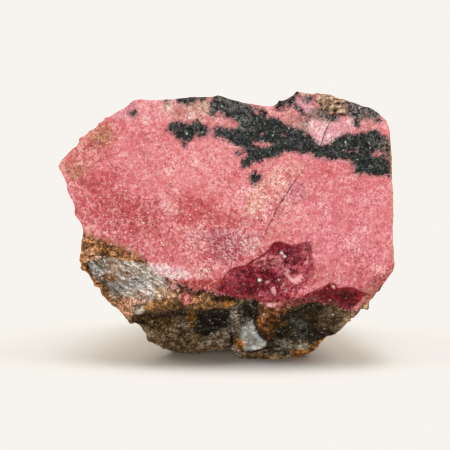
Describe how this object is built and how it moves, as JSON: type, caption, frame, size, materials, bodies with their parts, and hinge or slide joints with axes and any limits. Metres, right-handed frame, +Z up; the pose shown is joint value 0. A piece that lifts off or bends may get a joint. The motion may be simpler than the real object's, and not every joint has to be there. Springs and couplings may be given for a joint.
{
  "type": "rough rhodonite",
  "caption": "Broken piece of pink rhodonite veined with black manganese oxide, with brown and grey matrix crust along its lower side.",
  "frame": {"origin": "centre of the stone's bounding box at the level of the flat it rests on", "axes": "+Z up, +X to the right along the broad pink face, -Y out of that face"},
  "size_m": [0.0914, 0.0492, 0.0753],
  "materials": {
    "rhodonite": "broken granular pink rhodonite, with black manganese oxide veins and a brown, grey and black matrix crust"
  },
  "bodies": {
    "root": {"rhodonite_stone": "rhodonite"}
  },
  "joints": []
}
